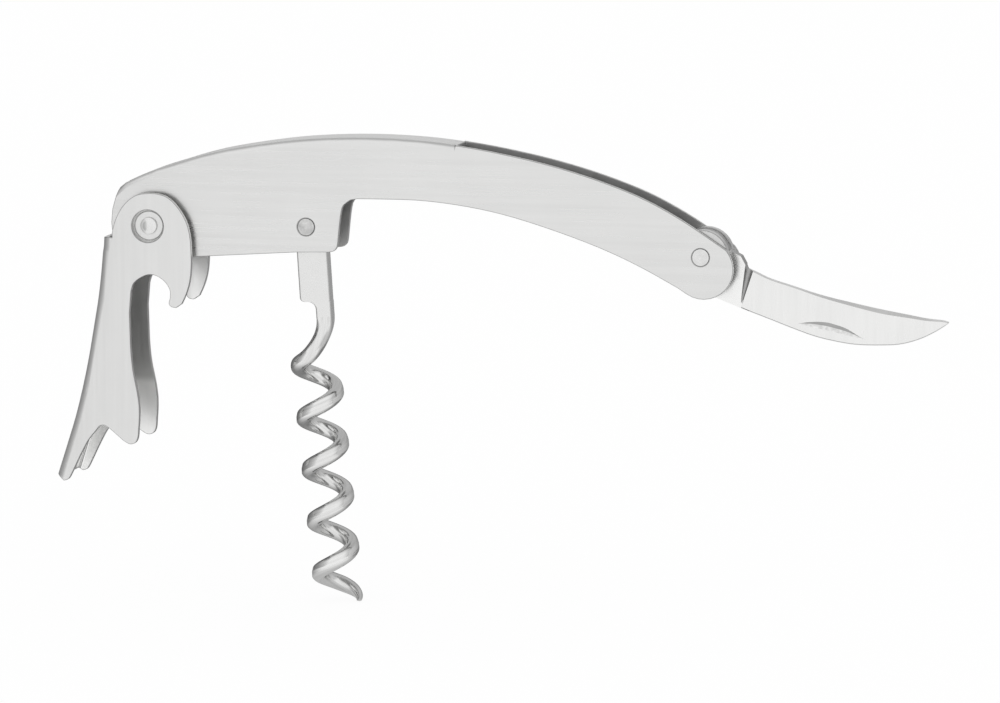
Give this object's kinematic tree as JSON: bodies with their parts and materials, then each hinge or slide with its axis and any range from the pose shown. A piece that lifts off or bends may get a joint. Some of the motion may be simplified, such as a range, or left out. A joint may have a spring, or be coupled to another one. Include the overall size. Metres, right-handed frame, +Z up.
{
  "type": "lever corkscrew",
  "caption": "Folding waiter's corkscrew: sheet steel handle with a bottle lever and cap lifter, a folding worm and a folding foil knife.",
  "frame": {"origin": "centre of the box round the whole tool, with lever, worm and knife as in the picture", "axes": "+X along the handle from the lever to the knife, +Y across the sheet from the front cheek to the rear one, +Z up"},
  "size_m": [0.1694, 0.0142, 0.0888],
  "materials": {
    "brushed_handle": "stainless sheet, fine brush marks along its length",
    "pressed_lever": "stainless sheet, satin, pressed dishes",
    "polished_worm": "hardened wire, polished",
    "ground_blade": "fine ground, satin",
    "rivets": "turned, bright",
    "washers": "turned, plain",
    "spring_leaf": "spring steel, dark"
  },
  "bodies": {
    "handle": {"handle_shell": "brushed_handle", "back_spring": "spring_leaf", "lever_rivet": "rivets", "worm_rivet": "rivets", "knife_rivet": "rivets", "worm_spacer_front": "washers", "worm_spacer_rear": "washers", "knife_spacer_front": "washers", "knife_spacer_rear": "washers"},
    "lever": {"lever": "pressed_lever"},
    "worm": {"worm": "polished_worm"},
    "knife": {"knife_blade": "ground_blade"}
  },
  "joints": [
    {"name": "lever_pivot", "type": "hinge", "parent": "handle", "child": "lever", "pos_m": [-0.06643, 0, 0.02711], "axis": [0, 1, 0], "range_deg": [-48, 28]},
    {"name": "worm_pivot", "type": "hinge", "parent": "handle", "child": "worm", "pos_m": [-0.03633, 0, 0.02741], "axis": [0, 1, 0], "range_deg": [-73, 0]},
    {"name": "knife_pivot", "type": "hinge", "parent": "handle", "child": "knife", "pos_m": [0.03887, 0, 0.02351], "axis": [0, 1, 0], "range_deg": [-172, 0]}
  ]
}
